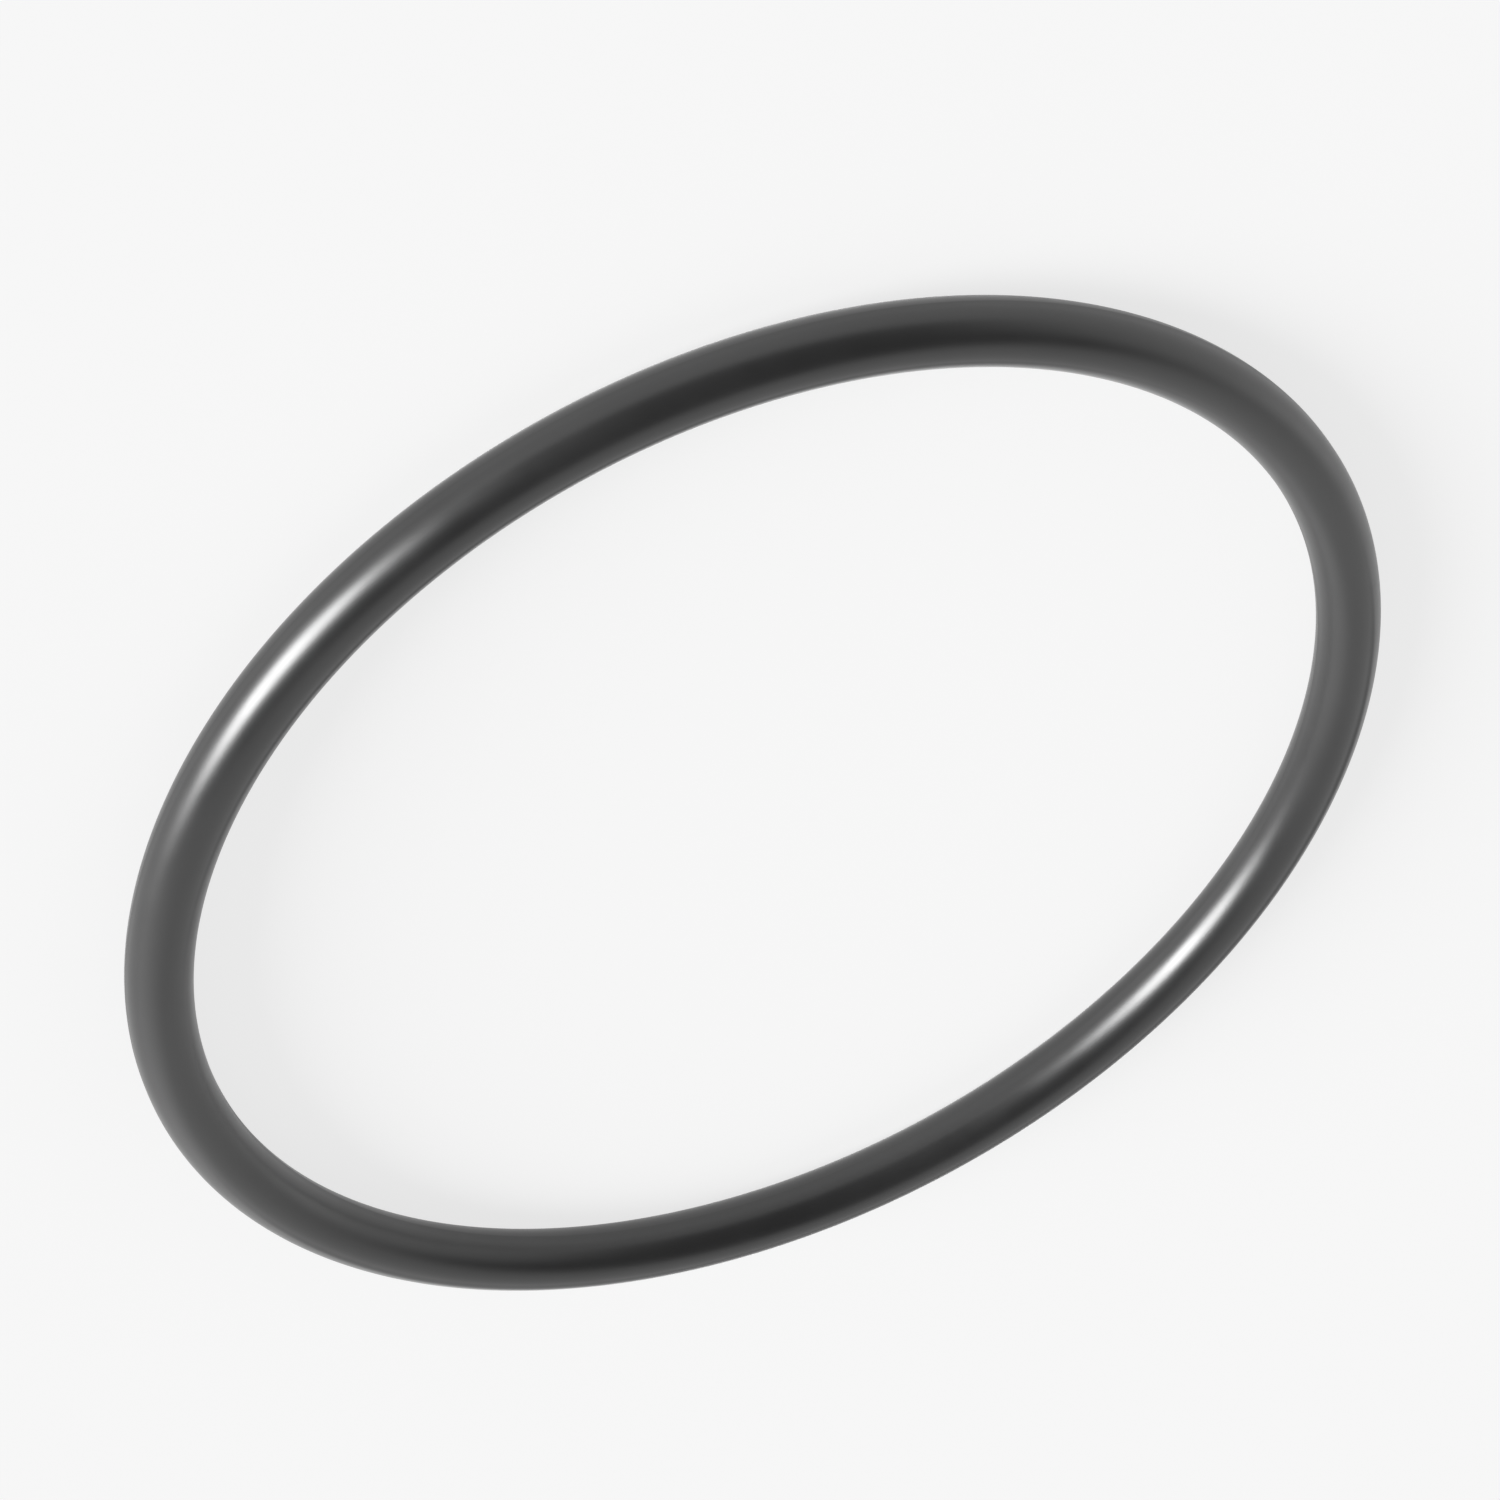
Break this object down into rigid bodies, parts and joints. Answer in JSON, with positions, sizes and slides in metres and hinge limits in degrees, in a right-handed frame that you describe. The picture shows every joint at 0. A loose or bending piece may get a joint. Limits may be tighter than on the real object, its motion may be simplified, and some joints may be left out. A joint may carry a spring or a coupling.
{
  "type": "rubber o-ring",
  "caption": "Closed ring of black rubber with a round section, which seals a shaft, a bore or a flange when it is squeezed in a groove.",
  "frame": {"origin": "centre of the ring, at mid-height of its section", "axes": "+Z along the ring's axis, with the ring lying flat; X and Y are alike, because the ring is round"},
  "size_m": [0.061, 0.061, 0.003],
  "materials": {
    "black_rubber": "satin"
  },
  "bodies": {
    "root": {"o_ring": "black_rubber"}
  },
  "joints": []
}
